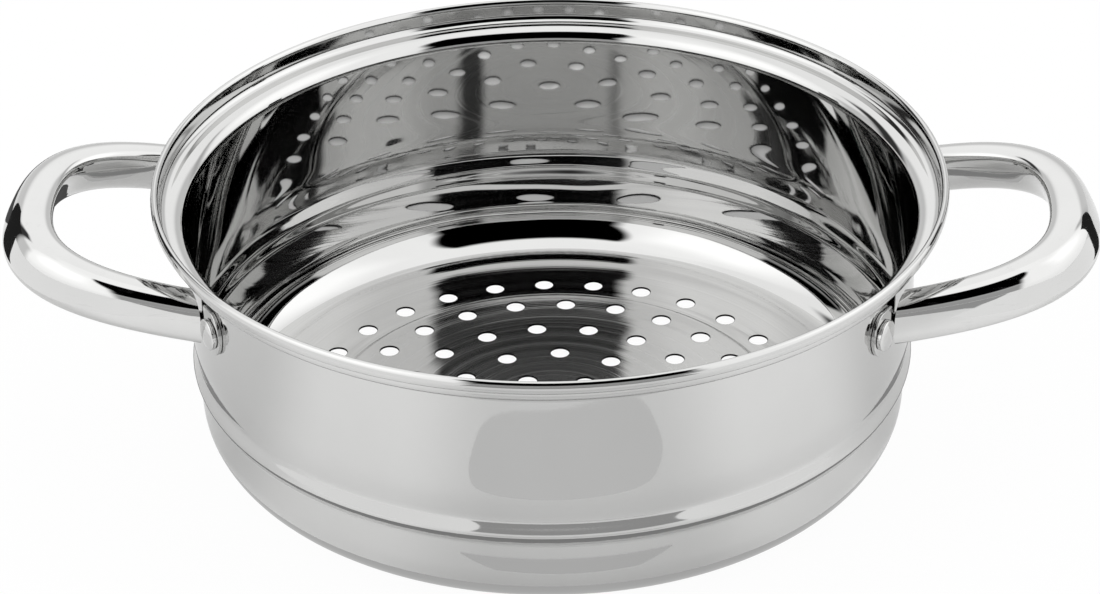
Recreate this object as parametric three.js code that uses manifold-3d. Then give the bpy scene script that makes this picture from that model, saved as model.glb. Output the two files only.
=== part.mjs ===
// Steamer insert: a drawn steel bowl with a perforated floor and two tubular loop handles riveted to its wall.
// Millimetres, +Z up. The origin is on the table, below the middle of the floor; the handles lie along X.

import * as THREE from 'three';
import { mergeGeometries, mergeVertices } from 'three/addons/utils/BufferGeometryUtils.js';
import Module from 'manifold-3d';

const wasm = await Module();
wasm.setup();

// Bowl
const sheet = 0.6; // thickness of the steel
const wallRadius = 100.4; // outside of the upper wall
const bodyHeight = 78.3; // table to the top of the rolled rim
const beadRadius = 1.1; // half the width of the rolled edge of the rim
const beadRise = 1.85; // half its height
const ledgeDepth = 5.05; // middle of the rolled edge down to the lid ledge
const ledgeRound = 4; // wall into ledge
const ledgeFlat = 0.6; // flat of the ledge between its two rounds
const recessRound = 2.4; // ledge into the wall of the lid recess
const waistTop = 44; // where the upper wall starts to draw in on its way down
const waistDepth = 1; // how much it draws in
const swellTop = 30.5; // top of the swell that sits on the pot
const swellHeight = 4.5;
const swellOut = 1.1; // how far the swell stands out
const shoulderHeight = 4; // underside of the swell
const lowerInset = 1.8; // how much narrower the lower wall is than the upper one
const stepEase = 0.2; // share of a step's height in which it turns
const cornerRadius = 14.3; // bottom corner, outside
const discRaise = 1.1; // raised middle of the floor
const discStep = 3; // width of the slope round it
const discMargin = 5.2; // outer ring of holes in to the foot of the slope

// Steam holes: one in the middle, and rings that fill the floor from its edge inwards
const holeDiameter = 5.5;
const ringMargin = 13.1; // start of the bottom corner in to the outer ring
const ringPitch = 13.65;
const holesAdded = 6; // each ring has this many more holes than the ring inside it
const holeTurn = THREE.MathUtils.degToRad(57.5); // turn of the rings from the line of the handles

// Handle loop, drawn flat from its root on the wall and then tilted up
const limbSpacing = 77.2; // between the middles of the two limbs
const limbSplay = 1.5; // how far the limbs bow out
const limbRun = 38.7; // pull of the straight limb on the curve
const bendRun = 26.5; // pull of the far bend on the curve
const loopReach = 52.2; // root to the middle of the tube at the far bend
const loopTilt = THREE.MathUtils.degToRad(11.45);
const rootDrop = 21.25; // middle of the rolled edge down to the root of the handle
const tubeWidth = 9.5; // at the root
const tubeHeight = 13.4;
const tubeLean = 0.075; // lean of the section, its top towards the inside of the loop
const bendWidth = 11.6; // at the far bend
const bendHeight = 14.2;
const bendLean = 0.27;
const tubeWall = 0.8;
const tubeSquareness = 3; // 2 is an ellipse, larger is squarer

// Brackets and rivets
const gap = 0.3; // between pieces that touch
const bracketThickness = 1;
const tongueHeight = 12.8;
const tongueMargin = 0.6; // head of the rivet out to the end of the tongue
const tongueRoot = 1.1; // how far the tongue runs in past the leg
const rivetClearance = 2; // side of the tube to the head of the rivet
const rivetLift = 0.8; // root of the handle up to the rivet
const copeClearance = 0.6; // bracket to the end of the tube
const legHeight = 6.6;
const legLength = 13;
const legClearance = 0.5; // inside of the tube to the upper edge of the leg
const rivetHeadDiameter = 8.6;
const rivetHeadSide = 1.1;
const rivetHeadDome = 0.9;
const rivetShankDiameter = 4.4;

// Fineness of the round surfaces
const bowlSegments = 48;
const curveSteps = 3;
const holeSides = 8;
const tubeSides = 14;
const tubeSteps = 22;
const rivetSides = 12;

// Sizes that follow
const wallMiddle = wallRadius - sheet / 2;
const lowerMiddle = wallMiddle - lowerInset;
const wallFoot = wallMiddle - waistDepth;
const swellMiddle = wallFoot + swellOut;
const waistMiddle = (swellTop + waistTop) / 2;
const swellLow = swellTop - swellHeight;
const shoulderLow = swellLow - shoulderHeight;
const recessMiddle = wallMiddle + ledgeRound + ledgeFlat + recessRound;
const beadMiddle = recessMiddle - sheet / 2 + beadRadius;
const beadZ = bodyHeight - beadRise;
const ledgeZ = beadZ - ledgeDepth;
const wallTop = ledgeZ - ledgeRound;
const cornerMiddle = cornerRadius - sheet / 2;
const floorRadius = lowerMiddle - cornerMiddle;
const outerRing = floorRadius - ringMargin;
const ringCount = Math.floor(outerRing / ringPitch);
const discFoot = outerRing - discMargin;
const discRadius = discFoot - discStep;
const limbY = limbSpacing / 2;
const rootX = Math.sqrt(wallRadius ** 2 - limbY ** 2);
const rootZ = beadZ - rootDrop;
const rivetZ = rootZ + rivetLift;
const tongueInner = wallRadius + gap;
const tongueOuter = tongueInner + bracketThickness;
const tongueMiddle = (tongueInner + tongueOuter) / 2;
const copeRadius = tongueOuter + copeClearance;
const boreWidth = tubeWidth - 2 * tubeWall;
const boreHeight = tubeHeight - 2 * tubeWall;
const boreAtLeg = (boreWidth / 2) * (1 - (legHeight / boreHeight) ** tubeSquareness) ** (1 / tubeSquareness);
const legOuter = limbY + boreAtLeg - (tubeLean * legHeight) / 2 - legClearance;
const legInner = legOuter - bracketThickness;
const headRadius = rivetHeadDiameter / 2;
const headTop = tongueOuter + rivetHeadSide;
const headEdgeY = limbY + tubeWidth / 2 + rivetClearance;
const rivetAngle = Math.asin(headEdgeY / Math.hypot(headTop, headRadius)) + Math.atan2(headRadius, headTop);
const tongueEnd = headRadius + tongueMargin;
const tongueLength = tongueMiddle * Math.sin(rivetAngle - Math.asin((legInner - tongueRoot) / tongueMiddle));
const cutDepth = 4 * (bracketThickness + gap); // cutters reach past both faces of what they cut

// Solids for cutting and joining
function solid(geometry) {
  const bare = geometry.clone();
  bare.deleteAttribute('normal');
  bare.deleteAttribute('uv');
  const merged = mergeVertices(bare.index ? bare.toNonIndexed() : bare, 1e-4);
  const index = merged.index.array;
  const triangles = [];
  for (let i = 0; i < index.length; i += 3) {
    const [a, b, c] = index.slice(i, i + 3);
    if (a !== b && b !== c && c !== a) triangles.push(a, b, c);
  }
  const vertProperties = new Float32Array(merged.attributes.position.array);
  const triVerts = new Uint32Array(triangles);
  return new wasm.Manifold(new wasm.Mesh({ numProp: 3, vertProperties, triVerts }));
}

function geometryOf(body) {
  const { vertProperties, triVerts } = body.getMesh();
  const geometry = new THREE.BufferGeometry();
  geometry.setAttribute('position', new THREE.BufferAttribute(new Float32Array(vertProperties), 3));
  geometry.setIndex(new THREE.BufferAttribute(new Uint32Array(triVerts), 1));
  geometry.computeVertexNormals();
  return geometry;
}

// A line moved sideways, to the right of its direction
function offsetLine(points, distance) {
  return points.map((point, i) => {
    const before = points[Math.max(i - 1, 0)];
    const after = points[Math.min(i + 1, points.length - 1)];
    const along = after.clone().sub(before).normalize();
    return new THREE.Vector2(point.x + along.y * distance, point.y - along.x * distance);
  });
}

// Middle line of the bowl's sheet, from the axis out along the floor and up to the rolled edge
function bowlLine() {
  const floorZ = sheet / 2;
  const discZ = floorZ + discRaise;
  const slopeMiddle = (discRadius + discFoot) / 2;
  const line = new THREE.Path();
  const stepTo = (x, z) => {
    const { x: startX, y: startZ } = line.currentPoint;
    const ease = (z - startZ) * stepEase;
    line.bezierCurveTo(startX, startZ + ease, x, z - ease, x, z);
  };
  line.moveTo(0, discZ);
  line.lineTo(discRadius, discZ);
  line.bezierCurveTo(slopeMiddle, discZ, slopeMiddle, floorZ, discFoot, floorZ);
  line.lineTo(floorRadius, floorZ);
  line.absarc(floorRadius, floorZ + cornerMiddle, cornerMiddle, -Math.PI / 2, 0, false);
  line.lineTo(lowerMiddle, shoulderLow);
  stepTo(swellMiddle, swellLow);
  stepTo(wallFoot, swellTop);
  line.bezierCurveTo(wallMiddle, waistMiddle, wallMiddle, waistMiddle, wallMiddle, waistTop);
  line.lineTo(wallMiddle, wallTop);
  line.absarc(wallMiddle + ledgeRound, wallTop, ledgeRound, Math.PI, Math.PI / 2, true);
  line.lineTo(recessMiddle - recessRound, ledgeZ);
  line.absarc(recessMiddle - recessRound, ledgeZ + recessRound, recessRound, -Math.PI / 2, 0, false);
  line.lineTo(recessMiddle, beadZ);
  return line.getPoints(curveSteps).filter((p, i, all) => i === 0 || p.distanceTo(all[i - 1]) > 1e-3);
}

// Section of the bowl: outside of the sheet, rolled edge, inside of the sheet
function bowlSection() {
  const line = bowlLine();
  const outside = offsetLine(line, sheet / 2);
  const inside = offsetLine(line, -sheet / 2);
  const beadStart = Math.acos((recessMiddle + sheet / 2 - beadMiddle) / beadRadius);
  const bead = new THREE.Path();
  bead.absellipse(beadMiddle, beadZ, beadRadius, beadRise, -beadStart, Math.PI, false);
  return [...outside.slice(0, -1), ...bead.getPoints(curveSteps), ...inside.slice(0, -1).reverse()];
}

// All steam holes as one cutter
function holeCutters() {
  const places = [new THREE.Vector2(0, 0)];
  for (let ring = 1; ring <= ringCount; ring += 1) {
    const radius = outerRing - (ringCount - ring) * ringPitch;
    const count = holesAdded * ring;
    for (let i = 0; i < count; i += 1) {
      const angle = holeTurn + (2 * Math.PI * i) / count;
      places.push(new THREE.Vector2(radius * Math.cos(angle), radius * Math.sin(angle)));
    }
  }
  const depth = 4 * (discRaise + sheet);
  const cutter = new THREE.CylinderGeometry(holeDiameter / 2, holeDiameter / 2, depth, holeSides);
  cutter.rotateX(Math.PI / 2);
  return solid(mergeGeometries(places.map((place) => cutter.clone().translate(place.x, place.y, 0))));
}

function bowlGeometry() {
  const turned = new THREE.LatheGeometry(bowlSection(), bowlSegments).rotateX(Math.PI / 2);
  return geometryOf(solid(turned).subtract(holeCutters()));
}

// Ring of points round the tube: along runs from 0 at the front root over the bend to 1 at the back root
function tubeRing(along, wall) {
  const wide = limbY + limbSplay;
  const limb = new THREE.CubicBezierCurve(
    new THREE.Vector2(0, -limbY),
    new THREE.Vector2(limbRun, -wide),
    new THREE.Vector2(loopReach, -bendRun),
    new THREE.Vector2(loopReach, 0),
  );
  const back = along > 0.5;
  const t = 2 * (back ? 1 - along : along);
  const middle = limb.getPoint(t);
  const ahead = limb.getTangent(t);
  const share = THREE.MathUtils.smoothstep(t, 0, 1);
  const width = THREE.MathUtils.lerp(tubeWidth, bendWidth, share) - 2 * wall;
  const height = THREE.MathUtils.lerp(tubeHeight, bendHeight, share) - 2 * wall;
  const lean = THREE.MathUtils.lerp(tubeLean, bendLean, share);
  const round = (value) => Math.sign(value) * Math.abs(value) ** (2 / tubeSquareness);
  const ring = [];
  for (let i = 0; i < tubeSides; i += 1) {
    const angle = (2 * Math.PI * i) / tubeSides;
    const down = (round(Math.cos(angle)) * height) / 2;
    const inward = (round(Math.sin(angle)) * width) / 2 - down * lean;
    const y = middle.y + ahead.x * inward;
    ring.push(middle.x - ahead.y * inward, back ? -y : y, -down);
  }
  return ring;
}

// Puts geometry drawn in the loop's plane onto the right side of the bowl
function tilt(geometry) {
  return geometry.rotateY(-loopTilt).translate(rootX, 0, rootZ);
}

// Solid through all the rings, closed at both ends
function sweep(wall) {
  const positions = [];
  const triangles = [];
  for (let step = 0; step <= tubeSteps; step += 1) positions.push(...tubeRing(step / tubeSteps, wall));
  for (let step = 0; step < tubeSteps; step += 1) {
    for (let i = 0; i < tubeSides; i += 1) {
      const a = step * tubeSides + i;
      const b = step * tubeSides + ((i + 1) % tubeSides);
      triangles.push(a, b, a + tubeSides, b, b + tubeSides, a + tubeSides);
    }
  }
  const last = tubeSteps * tubeSides;
  for (let i = 1; i < tubeSides - 1; i += 1) {
    triangles.push(0, i + 1, i, last, last + i, last + i + 1);
  }
  const geometry = new THREE.BufferGeometry();
  geometry.setAttribute('position', new THREE.Float32BufferAttribute(positions, 3));
  geometry.setIndex(triangles);
  return solid(tilt(geometry));
}

function handleGeometry() {
  const outer = sweep(0);
  const bore = sweep(tubeWall);
  const cope = new THREE.CylinderGeometry(copeRadius, copeRadius, bodyHeight, bowlSegments);
  cope.rotateX(Math.PI / 2).translate(0, 0, rootZ);
  return geometryOf(outer.subtract(bore).subtract(solid(cope)));
}

// Bracket on the right side: side is 1 for the back limb and -1 for the front one
function bracketGeometry(side) {
  const half = tongueHeight / 2;
  const outline = new THREE.Shape();
  outline.moveTo(-tongueLength, -half);
  outline.lineTo(0, -half);
  outline.absellipse(0, 0, tongueEnd, half, -Math.PI / 2, Math.PI / 2, false);
  outline.lineTo(-tongueLength, half);
  const plateOptions = { depth: cutDepth, bevelEnabled: false, curveSegments: rivetSides / 2 };
  const plate = new THREE.ExtrudeGeometry(outline, plateOptions).translate(0, 0, -cutDepth / 2);
  const turn = side > 0 ? 0 : Math.PI;
  plate.rotateZ(turn).rotateX(Math.PI / 2).rotateZ(Math.PI / 2);
  const reach = Math.asin((tongueLength + tongueEnd) / tongueInner);
  const band = new THREE.Shape();
  band.absarc(0, 0, tongueOuter, -reach, reach, false);
  band.absarc(0, 0, tongueInner, reach, -reach, true);
  const bandOptions = { depth: 2 * tongueHeight, bevelEnabled: false, curveSegments: rivetSides };
  const wall = new THREE.ExtrudeGeometry(band, bandOptions).translate(0, 0, rivetZ - tongueHeight);
  const hole = new THREE.CylinderGeometry(
    rivetShankDiameter / 2 + gap,
    rivetShankDiameter / 2 + gap,
    cutDepth,
    rivetSides,
  );
  hole.rotateZ(Math.PI / 2);
  const place = (geometry) => geometry.rotateZ(side * rivetAngle);
  const tongue = solid(place(wall)).intersect(solid(place(plate.translate(tongueMiddle, 0, rivetZ))));
  const legY = (legInner + legOuter) / 2;
  const legStart = Math.sqrt(tongueMiddle ** 2 - legY ** 2) - rootX;
  const leg = new THREE.BoxGeometry(legLength, bracketThickness, legHeight);
  leg.translate(legStart + legLength / 2, side * legY, 0);
  return geometryOf(
    tongue.add(solid(tilt(leg))).subtract(solid(place(hole.translate(tongueMiddle, 0, rivetZ)))),
  );
}

// Rivet along X, with the foot of its shank at zero
function rivetGeometry() {
  const shank = rivetShankDiameter / 2;
  const seat = bracketThickness + gap;
  const top = seat + rivetHeadSide;
  const section = new THREE.Path();
  section.moveTo(0, 0);
  section.lineTo(shank, 0);
  section.lineTo(shank, seat);
  section.lineTo(headRadius, seat);
  section.lineTo(headRadius, top);
  const crown = top + rivetHeadDome;
  section.bezierCurveTo(headRadius, top + rivetHeadDome / 2, headRadius / 2, crown, 0, crown);
  const turned = new THREE.LatheGeometry(section.getPoints(curveSteps), rivetSides);
  return geometryOf(solid(turned.rotateZ(-Math.PI / 2)));
}

function steel(color, roughness) {
  return new THREE.MeshStandardMaterial({ color, roughness, metalness: 1 });
}

function piece(name, geometry, material) {
  const mesh = new THREE.Mesh(geometry, material);
  mesh.name = name;
  return mesh;
}

const insert = new THREE.Group();
insert.add(piece('bowl', bowlGeometry(), steel(0xc9c9c7, 0.12)));

for (const [sideName, turn] of [['right', 0], ['left', Math.PI]]) {
  const side = new THREE.Group();
  side.rotation.z = turn;
  side.add(piece(`handle_${sideName}`, handleGeometry(), steel(0xd2d2d0, 0.1)));
  for (const direction of [-1, 1]) {
    const atFront = (direction < 0) === (sideName === 'right');
    const place = `${sideName}_${atFront ? 'front' : 'back'}`;
    side.add(piece(`bracket_${place}`, bracketGeometry(direction), steel(0xc4c4c2, 0.2)));
    const spoke = new THREE.Group();
    spoke.rotation.z = direction * rivetAngle;
    const rivet = piece(`rivet_${place}`, rivetGeometry(), steel(0xd0d0ce, 0.15));
    rivet.position.set(tongueInner, 0, rivetZ);
    spoke.add(rivet);
    side.add(spoke);
  }
  insert.add(side);
}

export default insert;
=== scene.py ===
import math

import bpy
from mathutils import Matrix, Vector
from mathutils.geometry import delaunay_2d_cdt


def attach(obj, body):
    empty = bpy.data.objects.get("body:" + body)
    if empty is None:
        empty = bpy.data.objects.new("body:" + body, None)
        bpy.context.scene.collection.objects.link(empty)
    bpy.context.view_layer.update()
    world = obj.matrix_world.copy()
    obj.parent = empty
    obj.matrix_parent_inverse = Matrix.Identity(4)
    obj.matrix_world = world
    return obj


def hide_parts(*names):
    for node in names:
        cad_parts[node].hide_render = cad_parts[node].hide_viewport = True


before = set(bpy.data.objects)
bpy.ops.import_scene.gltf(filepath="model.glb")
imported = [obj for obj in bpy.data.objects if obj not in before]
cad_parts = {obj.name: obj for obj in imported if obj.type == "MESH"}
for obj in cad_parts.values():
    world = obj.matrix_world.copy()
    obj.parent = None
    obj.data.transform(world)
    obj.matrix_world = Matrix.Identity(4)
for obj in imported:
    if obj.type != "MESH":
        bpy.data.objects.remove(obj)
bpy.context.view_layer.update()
print("frame loaded,", len(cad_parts), "nodes")

mm = 0.001


# Mesh building: the bowl's faces carry their own corner normals, so its polish stays true;
# the other pieces give none and are shaded by angle
class Shell:
    def __init__(self):
        self.points = []
        self.faces = []
        self.normals = []

    def point(self, x, y, z):
        self.points.append((x * mm, y * mm, z * mm))
        return len(self.points) - 1

    def face(self, corners, normals=(), flip=False):
        self.faces.append(corners[::-1] if flip else corners)
        self.normals.extend(normals)

    # loops of points joined by bands of quads; loops are (indices, normals)
    def bands(self, loops):
        for low, high in zip(loops, loops[1:]):
            count = len(low[0])
            for i in range(count):
                j = (i + 1) % count
                self.face(
                    (low[0][i], low[0][j], high[0][j], high[0][i]),
                    (low[1][i], low[1][j], high[1][j], high[1][i]),
                )

    # rings of points joined by quads
    def loft(self, rings, flip=False):
        for low, high in zip(rings, rings[1:]):
            count = len(low)
            for i in range(count):
                j = (i + 1) % count
                self.face((low[i], low[j], high[j], high[i]), flip=flip)

    # the same, with a face at each end
    def rod(self, rings, flip=False):
        self.loft(rings, flip)
        self.face(tuple(reversed(rings[0])), flip=flip)
        self.face(tuple(rings[-1]), flip=flip)

    # ring of points about a line along X
    def ringAcross(self, x, radius, z, sides):
        turns = [2 * math.pi * i / sides for i in range(sides)]
        return [self.point(x, radius * math.cos(a), z + radius * math.sin(a)) for a in turns]

    def build(self, name):
        mesh = bpy.data.meshes.new(name)
        mesh.from_pydata(self.points, [], self.faces)
        mesh.polygons.foreach_set("use_smooth", [True] * len(self.faces))
        if self.normals:
            mesh.normals_split_custom_set(self.normals)
        mesh.update()
        piece = bpy.data.objects.new(name, mesh)
        bpy.context.scene.collection.objects.link(piece)
        return piece


def cubic(a, b, c, d, t):
    s = 1 - t
    return [
        s ** 3 * p + 3 * s * s * t * q + 3 * s * t * t * r + t ** 3 * w
        for p, q, r, w in zip(a, b, c, d)
    ]


def cubicSlope(a, b, c, d, t):
    s = 1 - t
    return [
        3 * s * s * (q - p) + 6 * s * t * (r - q) + 3 * t * t * (w - r)
        for p, q, r, w in zip(a, b, c, d)
    ]


# sine or cosine bent so that an ellipse turns squarer
def squarer(value, power):
    return math.copysign(abs(value) ** power, value)


# Bowl, in millimetres
bowl = {
    "sheet": 0.6,
    "wallRadius": 100.4,
    "height": 78.3,
    "beadRadius": 1.1,
    "beadRise": 1.85,
    "ledgeDepth": 5.05,
    "ledgeRound": 4.0,
    "ledgeFlat": 0.6,
    "recessRound": 2.4,
    "waistTop": 44.0,  # the upper wall draws in below this
    "waistDepth": 1.0,
    "swellTop": 30.5,
    "swellHeight": 4.5,
    "swellOut": 1.1,
    "shoulderHeight": 4.0,
    "stepEase": 0.2,
    "insideSwell": 0.45,  # share of the swell that shows on the inside
    "lowerInset": 1.8,
    "cornerRadius": 14.3,
    "discRaise": 1.1,
    "discStep": 3.0,
    "discMargin": 5.2,
    "holeDiameter": 5.5,
    "holeRound": 0.16,
    "ringMargin": 13.1,
    "ringPitch": 13.65,
    "holesAdded": 6,
    "holeTurn": 57.5,  # degrees
    "segments": 168,
    "holeSides": 24,
    "sameSpot": 1e-5,  # points of the floor closer than this are one
    # steps along each stretch of the section
    "steps": {
        "corner": 14,
        "lower": 3,
        "swell": 14,
        "waist": 14,
        "upper": 6,
        "ledge": 10,
        "recess": 8,
        "bead": 28,
        "disc": 8,
        "hole": 3,
    },
}
halfSheet = bowl["sheet"] / 2
wallMiddle = bowl["wallRadius"] - halfSheet
lowerMiddle = wallMiddle - bowl["lowerInset"]
wallFoot = wallMiddle - bowl["waistDepth"]
swellLow = bowl["swellTop"] - bowl["swellHeight"]
shoulderLow = swellLow - bowl["shoulderHeight"]
cornerMiddle = bowl["cornerRadius"] - halfSheet
floorRadius = lowerMiddle - cornerMiddle
outerRing = floorRadius - bowl["ringMargin"]
discFoot = outerRing - bowl["discMargin"]
discEdge = discFoot - bowl["discStep"]
beadZ = bowl["height"] - bowl["beadRise"]
ledgeZ = beadZ - bowl["ledgeDepth"]
recessMiddle = wallMiddle + bowl["ledgeRound"] + bowl["ledgeFlat"] + bowl["recessRound"]
beadMiddle = recessMiddle - halfSheet + bowl["beadRadius"]


# Lines of the section as (radius, height, slope in radius, slope in height)
def curveLine(a, b, c, d, steps):
    line = []
    for i in range(steps + 1):
        x, z = cubic(a, b, c, d, i / steps)
        dx, dz = cubicSlope(a, b, c, d, i / steps)
        size = math.hypot(dx, dz)
        line.append((x, z, dx / size, dz / size))
    return line


def arcLine(x, z, radius, start, end, steps):
    line = []
    way = 1 if end > start else -1
    for i in range(steps + 1):
        angle = math.radians(start + (end - start) * i / steps)
        line.append((
            x + radius * math.cos(angle),
            z + radius * math.sin(angle),
            -math.sin(angle) * way,
            math.cos(angle) * way,
        ))
    return line


# between two places, without its ends
def straightLine(low, high, steps):
    dx, dz = high[0] - low[0], high[1] - low[1]
    size = math.hypot(dx, dz)
    return [
        (low[0] + dx * i / steps, low[1] + dz * i / steps, dx / size, dz / size)
        for i in range(1, steps)
    ]


# from one upright stretch of the wall to another
def stepLine(low, high):
    ease = (high[1] - low[1]) * bowl["stepEase"]
    leave, arrive = (low[0], low[1] + ease), (high[0], high[1] - ease)
    return curveLine(low, leave, arrive, high, bowl["steps"]["swell"])


def slopeLine():
    top = halfSheet + bowl["discRaise"]
    middle = (discEdge + discFoot) / 2
    edge, foot = (discEdge, top), (discFoot, halfSheet)
    return curveLine(edge, (middle, top), (middle, halfSheet), foot, bowl["steps"]["disc"])


def wallLine(swellShare):
    ledgeRound, recessRound, steps = bowl["ledgeRound"], bowl["recessRound"], bowl["steps"]
    foot = (lowerMiddle, halfSheet + cornerMiddle)
    shoulder = (lowerMiddle, shoulderLow)
    swell = (wallFoot + bowl["swellOut"] * swellShare, swellLow)
    top = (wallFoot, bowl["swellTop"])
    waist = (wallMiddle, bowl["waistTop"])
    pull = (wallMiddle, (bowl["swellTop"] + bowl["waistTop"]) / 2)
    ledge = (wallMiddle, ledgeZ - ledgeRound)
    line = arcLine(floorRadius, halfSheet + cornerMiddle, cornerMiddle, -90, 0, steps["corner"])
    line += straightLine(foot, shoulder, steps["lower"])
    line += stepLine(shoulder, swell)
    line += stepLine(swell, top)[1:]
    line += curveLine(top, pull, pull, waist, steps["waist"])[1:]
    line += straightLine(waist, ledge, steps["upper"])
    line += arcLine(wallMiddle + ledgeRound, ledgeZ - ledgeRound, ledgeRound, 180, 90, steps["ledge"])
    line += arcLine(recessMiddle - recessRound, ledgeZ + recessRound, recessRound, -90, 0, steps["recess"])
    return line


# A face of the sheet as (radius, height, normal's radius, normal's height)
def offset(line, distance):
    return [(x + dz * distance, z - dx * distance, dz, -dx) for x, z, dx, dz in line]


def turnBack(face):
    return [(x, z, -nx, -nz) for x, z, nx, nz in reversed(face)]


# face of the rolled edge, an ellipse
def rolledEdge():
    wide, tall = bowl["beadRadius"], bowl["beadRise"]
    start = math.degrees(math.acos((recessMiddle + halfSheet - beadMiddle) / wide))
    face = []
    for x, z, dx, dz in arcLine(0, 0, 1, -start, 180, bowl["steps"]["bead"]):
        size = math.hypot(dz / wide, dx / tall)
        face.append((beadMiddle + x * wide, beadZ + z * tall, dz / wide / size, -dx / tall / size))
    return face


def steamHoles():
    places = [(0.0, 0.0)]
    rings = int(outerRing // bowl["ringPitch"])
    for ring in range(1, rings + 1):
        radius = outerRing - (rings - ring) * bowl["ringPitch"]
        count = bowl["holesAdded"] * ring
        for i in range(count):
            angle = math.radians(bowl["holeTurn"]) + 2 * math.pi * i / count
            places.append((radius * math.cos(angle), radius * math.sin(angle)))
    return places


# Wall of one hole with its rounded edges; gives back its ring in the top and in the underside
def holeWall(shell, place, top, under):
    sides = [2 * math.pi * i / bowl["holeSides"] for i in range(bowl["holeSides"])]
    rimRound, steps = bowl["holeRound"], bowl["steps"]["hole"]
    section = []
    for i in range(steps + 1):
        bend = math.pi / 2 * i / steps
        radius = bowl["holeDiameter"] / 2 + rimRound * (1 - math.sin(bend))
        drop = rimRound * (1 - math.cos(bend))
        section.append((radius, top - drop, math.sin(bend), math.cos(bend)))
    section += [(r, under + (top - z), n, -up) for r, z, n, up in reversed(section)]
    loops = []
    for radius, z, inward, up in section:
        ring = [
            shell.point(place[0] + radius * math.cos(a), place[1] + radius * math.sin(a), z)
            for a in sides
        ]
        loops.append((ring, [(-inward * math.cos(a), -inward * math.sin(a), up) for a in sides]))
    shell.bands(loops[::-1])
    return loops[0][0], loops[-1][0]


# Flat stretch of the floor with its holes, both faces from one triangulation;
# the first loop of each face is its outer edge
def flatFloor(shell, places, top, under, topLoops, underLoops):
    walls = [holeWall(shell, place, top, under) for place in places]
    topRings = topLoops + [wall[0] for wall in walls]
    underRings = underLoops + [wall[1] for wall in walls]
    topIds = [i for ring in topRings for i in ring]
    underIds = [i for ring in underRings for i in ring]
    owner, edges = [], []
    for number, ring in enumerate(topRings):
        start = len(owner)
        edges += [(start + i, start + (i + 1) % len(ring)) for i in range(len(ring))]
        owner += [number] * len(ring)
    flatPoints = [Vector(shell.points[i][:2]) / mm for i in topIds]
    found = delaunay_2d_cdt(flatPoints, edges, [], 0, bowl["sameSpot"])
    triangles, origins = found[2:4]
    for triangle in triangles:
        corners = [origins[i][0] for i in triangle]
        owners = {owner[i] for i in corners}
        if len(owners) == 1 and 0 not in owners:
            continue  # it fills a hole
        shell.face(tuple(topIds[i] for i in corners), [(0, 0, 1)] * 3)
        shell.face(tuple(underIds[i] for i in reversed(corners)), [(0, 0, -1)] * 3)


def makeBowl():
    shell = Shell()
    spokes = [2 * math.pi * i / bowl["segments"] for i in range(bowl["segments"])]

    def turned(x, z, nx, nz):
        loop = [shell.point(x * math.cos(a), x * math.sin(a), z) for a in spokes]
        return loop, [(nx * math.cos(a), nx * math.sin(a), nz) for a in spokes]

    def lathe(face):
        loops = [turned(*ring) for ring in face]
        shell.bands(loops)
        return loops[0][0], loops[-1][0]

    # outside of the wall up to the crease under the rolled edge, then that edge and the inside
    inside = turnBack(offset(wallLine(bowl["insideSwell"]), -halfSheet))
    rolled = rolledEdge()
    outer = [turned(*ring) for ring in offset(wallLine(1), halfSheet)]
    crease = turned(*rolled[0])
    outer.append((crease[0], [(math.cos(a), math.sin(a), 0) for a in spokes]))
    upper = [crease] + [turned(*ring) for ring in rolled[1:] + inside]
    shell.bands(outer)
    shell.bands(upper)
    floorUnder, floorTop = outer[0][0], upper[-1][0]

    # slope round the raised disc
    discUnder, footUnder = lathe(offset(slopeLine(), halfSheet))
    footTop, discTop = lathe(turnBack(offset(slopeLine(), -halfSheet)))

    places = steamHoles()
    inDisc = [p for p in places if math.hypot(*p) < discEdge]
    inRing = [p for p in places if math.hypot(*p) > discFoot]
    raised = bowl["discRaise"]
    flatFloor(shell, inDisc, raised + bowl["sheet"], raised, [discTop], [discUnder])
    flatFloor(shell, inRing, bowl["sheet"], 0.0, [floorTop, footTop], [floorUnder, footUnder])
    return shell.build("steamer_bowl")


# Handle tube, in millimetres
handle = {
    "limbSpacing": 77.2,
    "limbSplay": 1.5,
    "limbRun": 38.7,
    "bendRun": 26.5,
    "reach": 52.2,
    "tilt": 11.45,  # degrees
    "rootDrop": 21.25,
    "width": (9.5, 11.6),  # at the root and at the far bend
    "height": (13.4, 14.2),
    "lean": (0.075, 0.27),
    "wall": 0.8,
    "squareness": 3.0,
    "sides": 56,
    "steps": 96,
    "sharp": 50,  # degrees between faces that meet in an edge
    "copeSpan": (-0.2, 0.3),  # shares of the loop between which its end is found
    "copeTries": 40,
}
limbY = handle["limbSpacing"] / 2
rootX = math.sqrt(bowl["wallRadius"] ** 2 - limbY ** 2)
rootZ = beadZ - handle["rootDrop"]

# Lug and rivet at each end of a handle, in millimetres
lug = {
    "gap": 0.12,
    "thickness": 1.0,
    "tongueHeight": 12.8,
    "tongueMargin": 0.6,
    "copeClearance": 0.6,
    "legHeight": 6.6,
    "legLength": 13.0,
    "legClearance": 0.5,
    "bendRadius": 2.0,
    "edgeRound": 0.22,
    "edgeMost": 0.9,  # of half the strip's height
    "narrowFrom": 0.8,  # share of the way to the bend at which the tongue narrows
    "tipTurn": 88,  # degrees of each half of the rounded end
    "tipSteps": 12,
    "tongueSteps": 10,
    "bendSteps": 8,
    "legSteps": 6,
    "edgeSteps": 3,
    "drillPast": 2.0,  # how far the drill reaches beyond both faces
    "sharp": 40,
}
rivet = {
    "headDiameter": 8.6,
    "headSide": 1.1,
    "headDome": 0.9,
    "seatRound": 0.15,
    "shankDiameter": 4.4,
    "clearance": 2.0,
    "lift": 0.8,
    "sides": 36,
    "domeSteps": 14,
    "sharp": 40,
}
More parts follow.
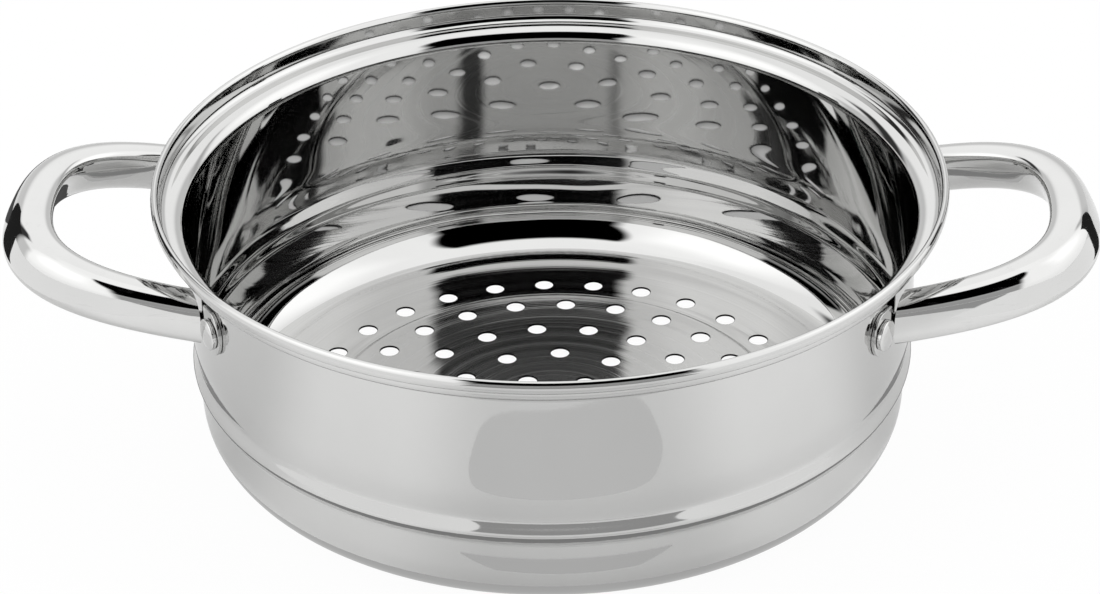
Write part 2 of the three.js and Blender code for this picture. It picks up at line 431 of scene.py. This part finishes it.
rivetZ = rootZ + rivet["lift"]
tongueInner = bowl["wallRadius"] + lug["gap"]
tongueOuter = tongueInner + lug["thickness"]
tongueMiddle = (tongueInner + tongueOuter) / 2
copeRadius = tongueOuter + lug["copeClearance"]
headRadius = rivet["headDiameter"] / 2
headTop = tongueOuter + rivet["headSide"]
headEdge = limbY + handle["width"][0] / 2 + rivet["clearance"]
rivetAngle = math.asin(headEdge / math.hypot(headTop, headRadius)) + math.atan2(headRadius, headTop)


# Point of the tube: along from 0 to 1 round the loop, at a place in the section
def loopPoint(along, down, inward):
    wide, far = limbY + handle["limbSplay"], handle["reach"]
    first = ((0, -limbY), (handle["limbRun"], -wide), (far, -handle["bendRun"]), (far, 0))
    mirrored = along > 0.5
    t = 2 * (1 - along if mirrored else along)
    x, y = cubic(*first, t)
    dx, dy = cubicSlope(*first, t)
    size = math.hypot(dx, dy)
    x, y = x - dy / size * inward, y + dx / size * inward
    y = -y if mirrored else y
    tilt = math.radians(handle["tilt"])
    return (
        rootX + x * math.cos(tilt) + down * math.sin(tilt),
        y,
        rootZ + x * math.sin(tilt) - down * math.cos(tilt),
    )


# Place in the section, as (down, inward), for a share of the way round it
def tubePlace(along, turn, wall):
    t = min(1, max(0, 1 - abs(1 - 2 * along)))
    share = t * t * (3 - 2 * t)
    width, height, lean = (
        handle[key][0] + (handle[key][1] - handle[key][0]) * share
        for key in ("width", "height", "lean")
    )
    power = 2 / handle["squareness"]
    c, s = math.cos(2 * math.pi * turn), math.sin(2 * math.pi * turn)
    down = squarer(c, power) * (height / 2 - wall)
    inward = squarer(s, power) * (width / 2 - wall)
    return down, inward - down * lean


# How far along the loop a line of the tube leaves the coped end
def copeStart(turn, wall):
    low, high = handle["copeSpan"]
    for _ in range(handle["copeTries"]):
        middle = (low + high) / 2
        x, y, z = loopPoint(middle, *tubePlace(middle, turn, wall))
        if math.hypot(x, y) < copeRadius:
            low = middle
        else:
            high = middle
    return (low + high) / 2


# Pieces are drawn at the right side; the left one is half a turn away
def sideMatrix(sideName):
    return Matrix.Rotation(0 if sideName == "right" else math.pi, 4, "Z")


def makeHandle(sideName):
    shell = Shell()
    skins = []
    turns = [i / handle["sides"] for i in range(handle["sides"])]
    for wall in (0, handle["wall"]):
        starts = [copeStart(turn, wall) for turn in turns]
        rings = []
        for step in range(handle["steps"] + 1):
            ring = []
            for turn, start in zip(turns, starts):
                along = start + (1 - 2 * start) * step / handle["steps"]
                ring.append(shell.point(*loopPoint(along, *tubePlace(along, turn, wall))))
            rings.append(ring)
        skins.append(rings)
    outer, bore = skins
    shell.loft(outer[::-1] + bore + outer[-1:])
    piece = shell.build("handle_tube_" + sideName)
    piece.data.set_sharp_from_angle(angle=math.radians(handle["sharp"]))
    piece.data.transform(sideMatrix(sideName))
    return piece


# Lug: a strip bent from the wall into the tube, as sections along its length;
# each has its middle, its outward direction, its height and half its width
def lugStations(direction):
    boreWidth = handle["width"][0] - 2 * handle["wall"]
    boreHeight = handle["height"][0] - 2 * handle["wall"]
    power = handle["squareness"]
    boreAtLeg = boreWidth / 2 * (1 - (lug["legHeight"] / boreHeight) ** power) ** (1 / power)
    legOuter = limbY + boreAtLeg - handle["lean"][0] * lug["legHeight"] / 2 - lug["legClearance"]
    legY = legOuter - lug["thickness"] / 2
    tongueHalf, legHalf = lug["tongueHeight"] / 2, lug["legHeight"] / 2
    tongueEnd = headRadius + lug["tongueMargin"]
    tilt = math.tan(math.radians(handle["tilt"]))

    # the bend is a fillet between the wall's arc and the straight leg
    bendRadius = lug["bendRadius"]
    centreY = legY + bendRadius
    bendAngle = math.asin(centreY / (tongueMiddle + bendRadius))
    centreX = (tongueMiddle + bendRadius) * math.cos(bendAngle)
    stations = []
    for i in range(lug["tipSteps"] + 1):
        turn = math.radians(lug["tipTurn"]) * (1 - i / lug["tipSteps"])
        angle = rivetAngle + tongueEnd * math.sin(turn) / tongueMiddle
        stations.append((angle, tongueHalf * math.cos(turn)))
    # the tongue keeps its height until it is behind the end of the tube
    for i in range(1, lug["tongueSteps"] + 1):
        share = i / lug["tongueSteps"]
        angle = rivetAngle + (bendAngle - rivetAngle) * share
        narrow = max(0, (share - lug["narrowFrom"]) / (1 - lug["narrowFrom"]))
        stations.append((angle, tongueHalf + (legHalf - tongueHalf) * narrow))
    strip = []
    for angle, high in stations:
        ease = min(1, max(0, (rivetAngle - angle) / (rivetAngle - bendAngle)))
        centreZ = rivetZ + (rootZ - rivetZ) * ease
        place = (tongueMiddle * math.cos(angle), tongueMiddle * math.sin(angle))
        strip.append((place, (math.cos(angle), math.sin(angle)), centreZ, high))
    for i in range(1, lug["bendSteps"] + 1):
        angle = math.pi + bendAngle + (math.pi / 2 - bendAngle) * i / lug["bendSteps"]
        out = (-math.cos(angle), -math.sin(angle))
        place = (centreX - out[0] * bendRadius, centreY - out[1] * bendRadius)
        strip.append((place, out, rootZ, legHalf))
    startX = strip[-1][0][0]
    legEnd = rootX + lug["legLength"]
    for i in range(1, lug["legSteps"] + 1):
        x = startX + (legEnd - startX) * i / lug["legSteps"]
        strip.append(((x, legY), (0, 1), rootZ + (x - startX) * tilt, legHalf))
    return [((x, y * direction), (nx, ny * direction), z, h) for (x, y), (nx, ny), z, h in strip]


def makeLug(name, sideName, direction):
    shell = Shell()
    halfThick, steps = lug["thickness"] / 2, lug["edgeSteps"]
    rings = []
    for (x, y), (nx, ny), z, high in lugStations(direction):
        edge = min(lug["edgeRound"], lug["edgeMost"] * high)
        ring = []
        for cornerX, cornerZ, start in ((1, 1, 0), (-1, 1, 90), (-1, -1, 180), (1, -1, 270)):
            for i in range(steps + 1):
                angle = math.radians(start + 90 * i / steps)
                out = cornerX * (halfThick - edge) + edge * math.cos(angle)
                up = cornerZ * (high - edge) + edge * math.sin(angle)
                ring.append(shell.point(x + nx * out, y + ny * out, z + up))
        rings.append(ring)
    shell.rod(rings, flip=direction < 0)
    piece = shell.build(name)

    # hole for the rivet's shank
    cutter = Shell()
    radius = rivet["shankDiameter"] / 2 + lug["gap"]
    ends = (tongueInner - lug["drillPast"], tongueOuter + lug["drillPast"])
    cutter.rod([cutter.ringAcross(x, radius, rivetZ, rivet["sides"]) for x in ends])
    drill = cutter.build("drill")
    drill.data.transform(Matrix.Rotation(direction * rivetAngle, 4, "Z"))
    cut = piece.modifiers.new("hole", "BOOLEAN")
    cut.operation = "DIFFERENCE"
    cut.solver = "EXACT"
    cut.object = drill
    bpy.context.view_layer.update()
    drilled = piece.evaluated_get(bpy.context.evaluated_depsgraph_get())
    whole = bpy.data.meshes.new_from_object(drilled)
    piece.modifiers.clear()
    piece.data = whole
    bpy.data.objects.remove(drill)
    piece.data.set_sharp_from_angle(angle=math.radians(lug["sharp"]))
    piece.data.transform(sideMatrix(sideName))
    return piece


def makeRivet(name, sideName, direction):
    shank, steps, edge = rivet["shankDiameter"] / 2, rivet["domeSteps"], rivet["seatRound"]
    seat = lug["thickness"] + lug["gap"]
    top = seat + rivet["headSide"]
    crown = top + rivet["headDome"]
    rim, rise = (headRadius, top), (headRadius, top + rivet["headDome"] / 2)
    dome = [cubic(rim, rise, (headRadius / 2, crown), (0, crown), i / steps) for i in range(steps)]
    section = [(shank, 0), (shank, seat), (headRadius - edge, seat), (headRadius, seat + edge)] + dome
    shell = Shell()
    rings = [shell.ringAcross(x, radius, 0, rivet["sides"]) for radius, x in section]
    shell.loft(rings)
    shell.face(tuple(reversed(rings[0])))
    tip = shell.point(crown, 0, 0)
    for i in range(rivet["sides"]):
        shell.face((rings[-1][i], rings[-1][(i + 1) % rivet["sides"]], tip))
    piece = shell.build(name)
    piece.data.set_sharp_from_angle(angle=math.radians(rivet["sharp"]))
    place = Matrix.Translation((tongueInner * mm, 0, rivetZ * mm))
    spoke = Matrix.Rotation(direction * rivetAngle, 4, "Z")
    piece.data.transform(sideMatrix(sideName) @ spoke @ place)
    return piece


bowlPiece = makeBowl()
print("bowl made,", len(bowlPiece.data.polygons), "faces")

# every piece with the node it stands for and its slot
dressed = [(bowlPiece, "bowl", "bowl_steel")]
for sideName in ("right", "left"):
    dressed.append((makeHandle(sideName), "handle_" + sideName, "handle_steel"))
    for direction in (-1, 1):
        atFront = (direction < 0) == (sideName == "right")
        end = sideName + ("_front" if atFront else "_back")
        dressed.append((makeLug("lug_" + end, sideName, direction), "bracket_" + end, "bracket_steel"))
        dressed.append((makeRivet("stud_" + end, sideName, direction), "rivet_" + end, "rivet_steel"))
print("handles, lugs and studs made")

# Camera at the photograph's place
view = {
    "place": (26.70, -860.94, 551.5),  # millimetres
    "pitch": 30.777,  # degrees down
    "yaw": 1.802,  # degrees towards the left
    "roll": -0.842,
    "lens": 117.468,
    "sensor": 36.0,
    "farthest": 50,  # metres
}


def makeCamera():
    pitch, yaw, roll = (math.radians(view[key]) for key in ("pitch", "yaw", "roll"))
    level = math.cos(pitch)
    ahead = Vector((-math.sin(yaw) * level, math.cos(yaw) * level, -math.sin(pitch)))
    across = ahead.cross(Vector((0, 0, 1))).normalized()
    upright = across.cross(ahead)
    right = across * math.cos(roll) + upright * math.sin(roll)
    up = upright * math.cos(roll) - across * math.sin(roll)
    data = bpy.data.cameras.new("camera")
    data.lens = view["lens"]
    data.sensor_width = view["sensor"]
    data.sensor_fit = "HORIZONTAL"
    data.clip_end = view["farthest"]
    camera = bpy.data.objects.new("camera", data)
    camera.matrix_world = Matrix((
        (right.x, up.x, -ahead.x, view["place"][0] * mm),
        (right.y, up.y, -ahead.y, view["place"][1] * mm),
        (right.z, up.z, -ahead.z, view["place"][2] * mm),
        (0, 0, 0, 1),
    ))
    bpy.context.scene.collection.objects.link(camera)
    bpy.context.scene.camera = camera


makeCamera()
print("camera set")


# Node trees: a wrapped socket takes part in plain arithmetic
class Wire:
    def __init__(self, tree, socket):
        self.tree = tree
        self.socket = socket

    def calc(self, operation, *values):
        return self.tree.make("ShaderNodeMath", {"operation": operation}, dict(enumerate(values)))

    def __add__(self, other):
        return self.calc("ADD", self, other)

    def __radd__(self, other):
        return self.calc("ADD", other, self)

    def __sub__(self, other):
        return self.calc("SUBTRACT", self, other)

    def __rsub__(self, other):
        return self.calc("SUBTRACT", other, self)

    def __mul__(self, other):
        return self.calc("MULTIPLY", self, other)

    def __rmul__(self, other):
        return self.calc("MULTIPLY", other, self)

    def __truediv__(self, other):
        return self.calc("DIVIDE", self, other)

    def __rtruediv__(self, other):
        return self.calc("DIVIDE", other, self)

    def __pow__(self, other):
        return self.calc("POWER", self, other)

    # another output of the same node
    def of(self, name):
        return Wire(self.tree, self.socket.node.outputs[name])

    def largest(self, other):
        return self.calc("MAXIMUM", self, other)

    # 0 below low, 1 above high, eased between
    def step(self, low, high):
        settings = {"interpolation_type": "SMOOTHSTEP"}
        inputs = {"Value": self, "From Min": low, "From Max": high}
        return self.tree.make("ShaderNodeMapRange", settings, inputs)


class Tree:
    def __init__(self, nodeTree):
        self.nodeTree = nodeTree
        nodeTree.nodes.clear()

    def make(self, kind, settings=None, inputs=None, output=0):
        node = self.nodeTree.nodes.new(kind)
        for key, value in (settings or {}).items():
            setattr(node, key, value)
        for key, value in (inputs or {}).items():
            if isinstance(value, Wire):
                self.nodeTree.links.new(value.socket, node.inputs[key])
            else:
                node.inputs[key].default_value = value
        return Wire(self, node.outputs[output]) if node.outputs else node


anySteel = {
    "blue": 0.99,  # against red and green
    "scattered": 0.4,  # roughness of finely scratched metal
}


# Steel: polished metal, with the marks that making and use leave on it
class Steel(Tree):
    def __init__(self, name):
        self.material = bpy.data.materials.new(name)
        self.material.use_nodes = True
        super().__init__(self.material.node_tree)
        metres = self.make("ShaderNodeTexCoord", {}, {}, "Object")
        self.place = self.vector("SCALE", metres, Scale=1 / mm)  # millimetres
        axes = self.make("ShaderNodeSeparateXYZ", {}, {"Vector": self.place})
        self.x, self.y, self.z = (axes.of(axis) for axis in "XYZ")
        self.facing = self.make("ShaderNodeNewGeometry", {}, {}, "Normal")

    def vector(self, operation, *values, **named):
        inputs = dict(enumerate(values)) | named
        return self.make("ShaderNodeVectorMath", {"operation": operation}, inputs)

    # soft noise about zero: size is the width of its patches in millimetres
    def patches(self, size, detail, stretch=(1, 1, 1)):
        at = self.vector("MULTIPLY", self.place, stretch)
        inputs = {"Vector": at, "Scale": 1 / size, "Detail": detail}
        return self.make("ShaderNodeTexNoise", {"noise_dimensions": "3D"}, inputs, "Fac") - 0.5

    # noise along one length, for turned and polished lines
    def lines(self, length, size, detail):
        inputs = {"W": length, "Scale": 1 / size, "Detail": detail}
        return self.make("ShaderNodeTexNoise", {"noise_dimensions": "1D"}, inputs, "Fac") - 0.5

    # the surface's direction, leant by slopes along given directions
    def leant(self, *leans):
        facing = self.facing
        for direction, slope in leans:
            facing = self.vector("ADD", facing, self.vector("SCALE", direction, Scale=slope))
        return self.vector("NORMALIZE", facing)

    # polished metal under a share of fine scratches that scatter the light
    def finish(self, tone, roughness, facing, haze):
        channels = {"Red": tone, "Green": tone, "Blue": tone * anySteel["blue"]}
        color = self.make("ShaderNodeCombineColor", {}, channels)
        polished, scattered = (self.make("ShaderNodeBsdfPrincipled", {}, {
            "Base Color": color, "Metallic": 1.0, "Roughness": rough, "Normal": facing,
        }) for rough in (roughness, anySteel["scattered"]))
        surface = self.make("ShaderNodeMixShader", {}, {0: haze, 1: polished, 2: scattered})
        self.make("ShaderNodeOutputMaterial", {}, {"Surface": surface})
        return self.material


# In each steel, patches and lines are given by size, detail and stretch
bowlSteel = {
    "tone": 0.58,
    "outside": 0.05,  # roughness
    "inside": 0.03,
    "floor": 0.05,
    # where the floor and the inside begin and end: by the surface's direction, and in millimetres
    "floorFacing": (0.85, 0.97),
    "floorHeight": (4.5, 6.5),
    "insideFacing": (-0.4, 0.1),
    "ledgeFade": 3,
    "discFade": 1,
    # soft clouds all over
    "cloud": (26, 4),
    "cloudTone": 0.04,
    "cloudRough": 0.03,
    # slow waves of the drawn wall
    "swayPatches": (13, 1, (1, 1, 0.28)),
    "drawnPatches": (16, 1, (0.5, 0.5, 1)),
    "sway": 0.014,  # slope
    "uneven": 3.0,  # how much stronger they are near the swell
    # turned lines of the floor
    "fineLines": (0.35, 4),
    "fineShare": 1.2,
    "wideLines": (2.6, 2),
    "wideShare": 0.8,
    "turned": 0.1,  # slope
    "turnedTone": 0.1,
    "turnedRough": 0.05,
    # scratches among them
    "dragLines": (0.2, 1),
    "dragPatches": (7, 3),
    "dragFrom": (0.42, 0.6),
    "scratchTone": 0.05,
    "scratchRough": 0.1,
    # shares of scattered light: on the raised disc, and on the whole floor
    "discHaze": 0.14,
    "discTurned": 0.3,
    "discScratch": 0.08,
    "floorHaze": 0.03,
    "floorTurned": 0.1,
}


def bowlLook():
    steel, look = Steel("bowl_polished_steel"), bowlSteel
    x, y, z = steel.x, steel.y, steel.z
    radius = (x * x + y * y) ** 0.5
    outward = steel.make("ShaderNodeCombineXYZ", {}, {"X": x / radius, "Y": y / radius})
    around = steel.make("ShaderNodeCombineXYZ", {}, {"X": 0 - y / radius, "Y": x / radius})
    out = steel.vector("DOT_PRODUCT", steel.facing, outward).of("Value")
    rise = steel.make("ShaderNodeSeparateXYZ", {}, {"Vector": steel.facing}, "Z")
    floor = rise.step(*look["floorFacing"]) * (1 - z.step(*look["floorHeight"]))
    belowLedge = 1 - z.step(ledgeZ - look["ledgeFade"], ledgeZ)
    inside = (1 - out.step(*look["insideFacing"])) * (1 - floor) * belowLedge
    disc = floor * (1 - radius.step(discEdge - look["discFade"], discEdge + look["discFade"]))

    cloud = steel.patches(*look["cloud"])
    fine = steel.lines(radius, *look["fineLines"])
    wide = steel.lines(radius, *look["wideLines"])
    turned = fine * look["fineShare"] + wide * look["wideShare"]
    drag = steel.lines(radius, *look["dragLines"]) + steel.patches(*look["dragPatches"])
    scratch = drag.step(*look["dragFrom"])
    sway = steel.patches(*look["swayPatches"]) * inside * look["sway"]
    uneven = (1 - z.step(bowl["swellTop"], bowl["waistTop"])) * look["uneven"] + 1
    drawn = steel.patches(*look["drawnPatches"]) * inside * uneven * look["sway"]
    facing = steel.leant(
        (outward, turned * floor * look["turned"]),
        (around, sway),
        ((0, 0, 1), drawn),
    )

    marks = turned * look["turnedTone"] - scratch * look["scratchTone"]
    tone = look["tone"] + cloud * look["cloudTone"] + marks * floor
    roughness = look["outside"] + cloud * look["cloudRough"]
    roughness = inside * (look["inside"] - roughness) + roughness
    marked = look["floor"] + turned * look["turnedRough"] + scratch * look["scratchRough"]
    roughness = floor * (marked - roughness) + roughness
    onDisc = look["discHaze"] + turned * look["discTurned"] + scratch * look["discScratch"]
    haze = disc * onDisc + floor * (turned * look["floorTurned"] + look["floorHaze"])
    return steel.finish(tone, roughness, facing, haze.largest(0))


tubeSteel = {
    "tone": 0.62,
    "roughness": 0.045,
    "cloud": (11, 3),
    "cloudTone": 0.04,
    "cloudRough": 0.02,
    "ripplePatches": (9, 1),
    "ripple": 0.012,  # slope
    "rippleAcross": 0.6,
    # rubbed spots
    "rubPatches": (1.6, 3, (0.25, 0.25, 2)),
    "rubFrom": (0.1, 0.3),
    "rubTone": 0.02,
    "rubHaze": 0.05,
}


def tubeLook():
    steel, look = Steel("handle_polished_steel"), tubeSteel
    cloud = steel.patches(*look["cloud"])
    rub = steel.patches(*look["rubPatches"]).step(*look["rubFrom"])
    ripple = steel.patches(*look["ripplePatches"]) * look["ripple"]
    facing = steel.leant(((0, 0, 1), ripple), ((0, 1, 0), ripple * look["rippleAcross"]))
    tone = look["tone"] + cloud * look["cloudTone"] - rub * look["rubTone"]
    roughness = look["roughness"] + cloud * look["cloudRough"]
    return steel.finish(tone, roughness, facing, rub * look["rubHaze"])


lugSteel = {
    "tone": 0.58,
    "roughness": 0.13,
    "cloud": (5, 3),
    "cloudTone": 0.06,
    "cloudRough": 0.06,
    "cloudHaze": 0.3,
    "grainPatches": (0.35, 2, (1, 1, 0.15)),
    "grain": 0.05,  # slope
}


def lugLook():
    steel, look = Steel("lug_satin_steel"), lugSteel
    cloud = steel.patches(*look["cloud"])
    grain = steel.patches(*look["grainPatches"]) * look["grain"]
    facing = steel.leant(((0, 1, 0), grain))
    tone = look["tone"] + cloud * look["cloudTone"]
    roughness = look["roughness"] + cloud * look["cloudRough"]
    return steel.finish(tone, roughness, facing, cloud.largest(0) * look["cloudHaze"])


studSteel = {
    "tone": 0.62,
    "roughness": 0.1,
    "cloud": (2.2, 3),
    "cloudTone": 0.06,
    "cloudRough": 0.05,
    "cloudHaze": 0.3,
    "dentPatches": (2.8, 1),
    "dent": 0.09,  # slope
}


def studLook():
    steel, look = Steel("stud_polished_steel"), studSteel
    cloud = steel.patches(*look["cloud"])
    dent = steel.patches(*look["dentPatches"]) * look["dent"]
    facing = steel.leant(((0, 1, 0), dent), ((0, 0, 1), dent))
    tone = look["tone"] + cloud * look["cloudTone"]
    roughness = look["roughness"] + cloud * look["cloudRough"]
    return steel.finish(tone, roughness, facing, cloud.largest(0) * look["cloudHaze"])


looks = {
    "bowl_steel": bowlLook(),
    "handle_steel": tubeLook(),
    "bracket_steel": lugLook(),
    "rivet_steel": studLook(),
}
print("steel looks made")

for piece, node, slotName in dressed:
    piece.data.materials.clear()
    piece.data.materials.append(looks[slotName])
    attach(piece, "root")
    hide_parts(node)

# Studio: a white tent with a soft box at each side, open towards the camera;
# bearings are from the back, to the right positive, in degrees
studio = {
    "floorSize": 8.0,  # metres
    "shadow": 0.04,  # share of the floor's white that the object can shade
    "mirrored": 0.4,  # share of plain white that polished steel sees in the floor
    # that white, and where the boxes brighten it: brightness, bearings to both sides, soft edge
    "pools": (0.8, 1.34, 110, 152, 12),
    "poolTurn": 7,  # turn of those bearings
    "paper": 0.92,
    "tent": 1.3,
    # panels by bearing and by height, in degrees; then the brightness, and the soft edge
    "panels": (
        (-200, 200, 66, 100, 1.4, 4),  # roof
        (-157, -78, 4, 74, 1.45, 5),  # left box
        (-142, -92, 18, 56, 1.75, 12),
        (48, 134, 4, 74, 1.4, 5),  # right box
        (58, 102, 18, 54, 1.7, 12),
        (-80, 46, -8, 24, 0.82, 5),  # back
        (-60, -44, -8, 40, 0.05, 4),  # dark corner at the left
        (37, 44, -8, 36, 0.6, 4),  # and at the right
    ),
    # the open front, by bearing from the camera's side: left, right, low, high, spread, edge
    "front": (-21.5, 41.5, 14, 68, 0.45, 3),
    "frontRise": 30,  # height where it begins to spread
    "frontLow": 0.45,  # brightness below it
    # cards that only reflections see, in millimetres
    "cardRise": 1,  # how far they clear the floor
    # black ones beside the handles: one end, the other end, height
    "flags": (((-275, 64), (-222, 106), 130), ((262, 75), (232, 100), 130)),
    "flagTone": 0.02,
    # a shade on the floor before the bowl: middle, half size, squareness, tone
    "shade": ((15, -172), (64, 29), 0.7, 0.79),
    "shadePoints": 48,
    # flat rings and sectors that are darker or brighter: bearings, distances, height, tone,
    # how far the near edge runs out to the far one at its ends
    "rings": (
        (145, 199, 330, 3000, 1, 0.42, 0),  # beyond the paper
        (-58, -35, 140, 420, 1, 0.08, 0),  # before the dark corners
        (20, 36, 140, 400, 1, 0.2, 0),
        (-161, -62, 240, 3000, 1, 1.12, 0),  # in the light of the boxes
        (60, 145, 240, 3000, 1, 1.12, 0),
        (-180, 0, 91, 99, 1, 0.6, 0),  # painted contact shadow under the bowl's corner
        (0, 180, 91, 99, 1, 0.6, 0),
        (-180, 0, 99.4, 104, 21.5, 0.3, 0),  # painted shadow under the swell
        (0, 180, 99.4, 104, 21.5, 0.3, 0),
        (156, 196, 113, 123.4, 1, 0.66, 0.95),  # painted shade on the floor before the lower wall
    ),
    "ringSteps": 36,
}
plainWhite = (1, 1, 1, 1)
degree = 180 / math.pi


# 1 between two edges, 0 outside them
def window(angle, low, high, soft):
    return angle.step(low - soft, low + soft) * (1 - angle.step(high - soft, high + soft))


# One flat face, its corners in metres, with an empty look
def makeFlat(name, corners, lookName):
    mesh = bpy.data.meshes.new(name)
    mesh.from_pydata(corners, [], [tuple(range(len(corners)))])
    flat = bpy.data.objects.new(name, mesh)
    bpy.context.scene.collection.objects.link(flat)
    material = bpy.data.materials.new(lookName)
    material.use_nodes = True
    mesh.materials.append(material)
    return flat, Tree(material.node_tree)


def makeFloor():
    half = studio["floorSize"] / 2
    corners = [(-half, -half, 0), (half, -half, 0), (half, half, 0), (-half, half, 0)]
    floor, tree = makeFlat("floor", corners, "floor_white")
    camera = tree.make("ShaderNodeLightPath", {}, {}, "Is Camera Ray")
    place = tree.make("ShaderNodeTexCoord", {}, {}, "Object")
    axes = tree.make("ShaderNodeSeparateXYZ", {}, {"Vector": place})
    bearing = axes.calc("ARCTAN2", axes.of("X"), axes.of("Y")) * degree
    plain, bright, near, far, soft = studio["pools"]
    pool = window(bearing.calc("ABSOLUTE", bearing + studio["poolTurn"]), near, far, soft)
    seen = pool * (bright - plain) + plain
    glow = camera * (1 - seen) + seen
    white = tree.make("ShaderNodeEmission", {}, {"Color": plainWhite, "Strength": glow})
    tone = studio["paper"]
    paper = tree.make("ShaderNodeBsdfDiffuse", {}, {"Color": (tone, tone, tone, 1)})
    share = camera * (1 - studio["shadow"]) + camera.of("Is Glossy Ray") * studio["mirrored"]
    surface = tree.make("ShaderNodeMixShader", {}, {0: share, 1: paper, 2: white})
    tree.make("ShaderNodeOutputMaterial", {}, {"Surface": surface})


def makeTent():
    world = bpy.data.worlds.new("tent")
    bpy.context.scene.world = world
    world.use_nodes = True
    tree = Tree(world.node_tree)
    way = tree.make("ShaderNodeTexCoord", {}, {}, "Generated")
    axes = tree.make("ShaderNodeSeparateXYZ", {}, {"Vector": way})
    x, y, z = (axes.of(axis) for axis in "XYZ")
    high = z.calc("ARCSINE", z) * degree
    bearing = x.calc("ARCTAN2", x, y) * degree
    level = studio["tent"]
    for left, right, low, top, tone, soft in studio["panels"]:
        share = window(bearing, left, right, soft) * window(high, low, top, soft)
        level = share * (tone - level) + level
    left, right, low, top, spread, soft = studio["front"]
    widening = (high - studio["frontRise"]).largest(0) * spread
    fromFront = x.calc("ARCTAN2", x, 0 - y) * degree
    fromRight = (fromFront - widening).step(right + soft, right - soft)
    fromLeft = (fromFront + widening).step(left - soft, left + soft)
    opened = fromRight * fromLeft
    level = level * (1 - opened * window(high, low, top, soft))
    below = opened * (1 - high.step(low - soft, low + soft))
    level = below * (studio["frontLow"] - level) + level
    camera = tree.make("ShaderNodeLightPath", {}, {}, "Is Camera Ray")
    glow = camera * (1 - level) + level
    shown = tree.make("ShaderNodeBackground", {}, {"Color": plainWhite, "Strength": glow})
    tree.make("ShaderNodeOutputWorld", {}, {"Surface": shown})


# Card that only reflections see, its corners in millimetres
def makeCard(name, corners, tone):
    card, tree = makeFlat(name, [tuple(v * mm for v in corner) for corner in corners], name)
    card.visible_camera = card.visible_diffuse = False
    card.visible_shadow = card.visible_transmission = False
    glow = tree.make("ShaderNodeEmission", {}, {"Color": plainWhite, "Strength": tone})
    tree.make("ShaderNodeOutputMaterial", {}, {"Surface": glow})


def makeCards():
    low = studio["cardRise"]
    for (x0, y0), (x1, y1), high in studio["flags"]:
        corners = ((x0, y0, low), (x1, y1, low), (x1, y1, high), (x0, y0, high))
        makeCard("flag", corners, studio["flagTone"])
    (x, y), (wide, deep), power, tone = studio["shade"]
    turns = [2 * math.pi * i / studio["shadePoints"] for i in range(studio["shadePoints"])]
    outline = [(squarer(math.cos(t), power), squarer(math.sin(t), power)) for t in turns]
    makeCard("shade", [(x + wide * across, y + deep * along, low) for across, along in outline], tone)
    steps = studio["ringSteps"]
    for left, right, near, far, high, tone, bow in studio["rings"]:
        inner, outer = [], []
        for i in range(steps + 1):
            turn = math.radians(left + (right - left) * i / steps)
            start = near + (far - near) * bow * (2 * i / steps - 1) ** 2
            inner.append((start * math.sin(turn), start * math.cos(turn), high))
            outer.append((far * math.sin(turn), far * math.cos(turn), high))
        makeCard("ring", inner + outer[::-1], tone)


makeFloor()
makeTent()
makeCards()
bpy.context.scene.view_settings.view_transform = "Standard"
print("studio set")
